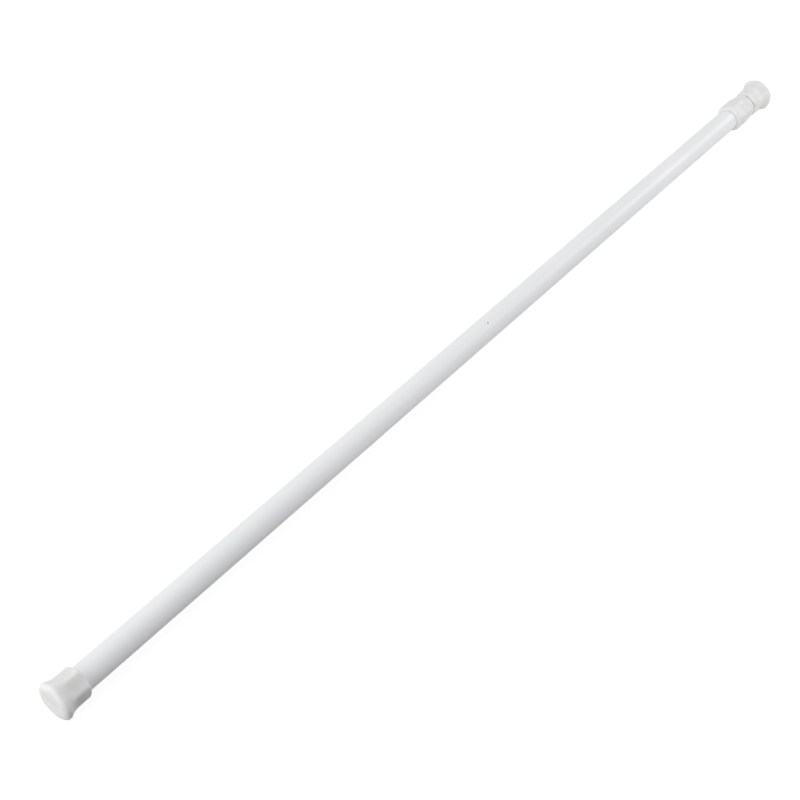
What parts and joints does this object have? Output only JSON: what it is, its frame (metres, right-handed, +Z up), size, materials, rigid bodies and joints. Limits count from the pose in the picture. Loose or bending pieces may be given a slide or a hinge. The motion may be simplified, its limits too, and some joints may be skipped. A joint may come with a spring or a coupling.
{
  "type": "spring tension rod",
  "caption": "Telescopic white tension rod with flared hexagonal end caps, a tapered collar, a hidden cam lock and an inner compression spring.",
  "frame": {"origin": "on the surface that the rod lies on, below the middle of the closed rod", "axes": "+X along the rod from the outer tube's foot to the inner tube's foot, +Z up"},
  "size_m": [0.6, 0.0198, 0.0192],
  "materials": {
    "tube_enamel": "satin white enamel on steel tube",
    "cap_plastic": "soft white moulded plastic, slightly translucent",
    "lock_nylon": "natural moulded nylon",
    "ring_nylon": "grey moulded nylon",
    "plated_steel": "zinc plated",
    "spring_steel": "bright drawn spring wire"
  },
  "bodies": {
    "outer": {"outer_tube": "tube_enamel", "outer_end_cap": "cap_plastic", "tube_collar": "cap_plastic"},
    "glide": {"glide_ring": "lock_nylon"},
    "inner": {"inner_tube": "tube_enamel", "inner_end_cap": "cap_plastic", "end_bush": "lock_nylon", "spring_stop": "lock_nylon", "coil_spring": "spring_steel"},
    "lock": {"lock_spindle": "plated_steel", "cam_core": "lock_nylon", "cam_pin": "plated_steel", "cam_washer": "plated_steel", "cam_screw": "plated_steel", "spring_plunger": "lock_nylon", "plunger_pin": "plated_steel"},
    "ring": {"lock_ring": "ring_nylon"}
  },
  "joints": [
    {"name": "telescope", "type": "slide", "parent": "outer", "child": "glide", "axis": [1, 0, 0], "range_m": [0, 0.4]},
    {"name": "twist", "type": "hinge", "parent": "glide", "child": "inner", "pos_m": [-0.25035, 0, 0.0096], "axis": [1, 0, 0], "range_deg": [-45, 45]},
    {"name": "spring_stroke", "type": "slide", "parent": "inner", "child": "lock", "axis": [1, 0, 0], "range_m": [0, 0.02], "stiffness_N_per_m": 1900, "springref_m": -0.005, "deforming": ["coil_spring"]},
    {"name": "ring_turn", "type": "hinge", "parent": "lock", "child": "ring", "pos_m": [-0.28725, 0, 0.0101], "axis": [1, 0, 0], "range_deg": [-45, 45]}
  ],
  "couplings": [
    {"joint": "ring_turn", "follows": "twist", "ratio": -1}
  ]
}
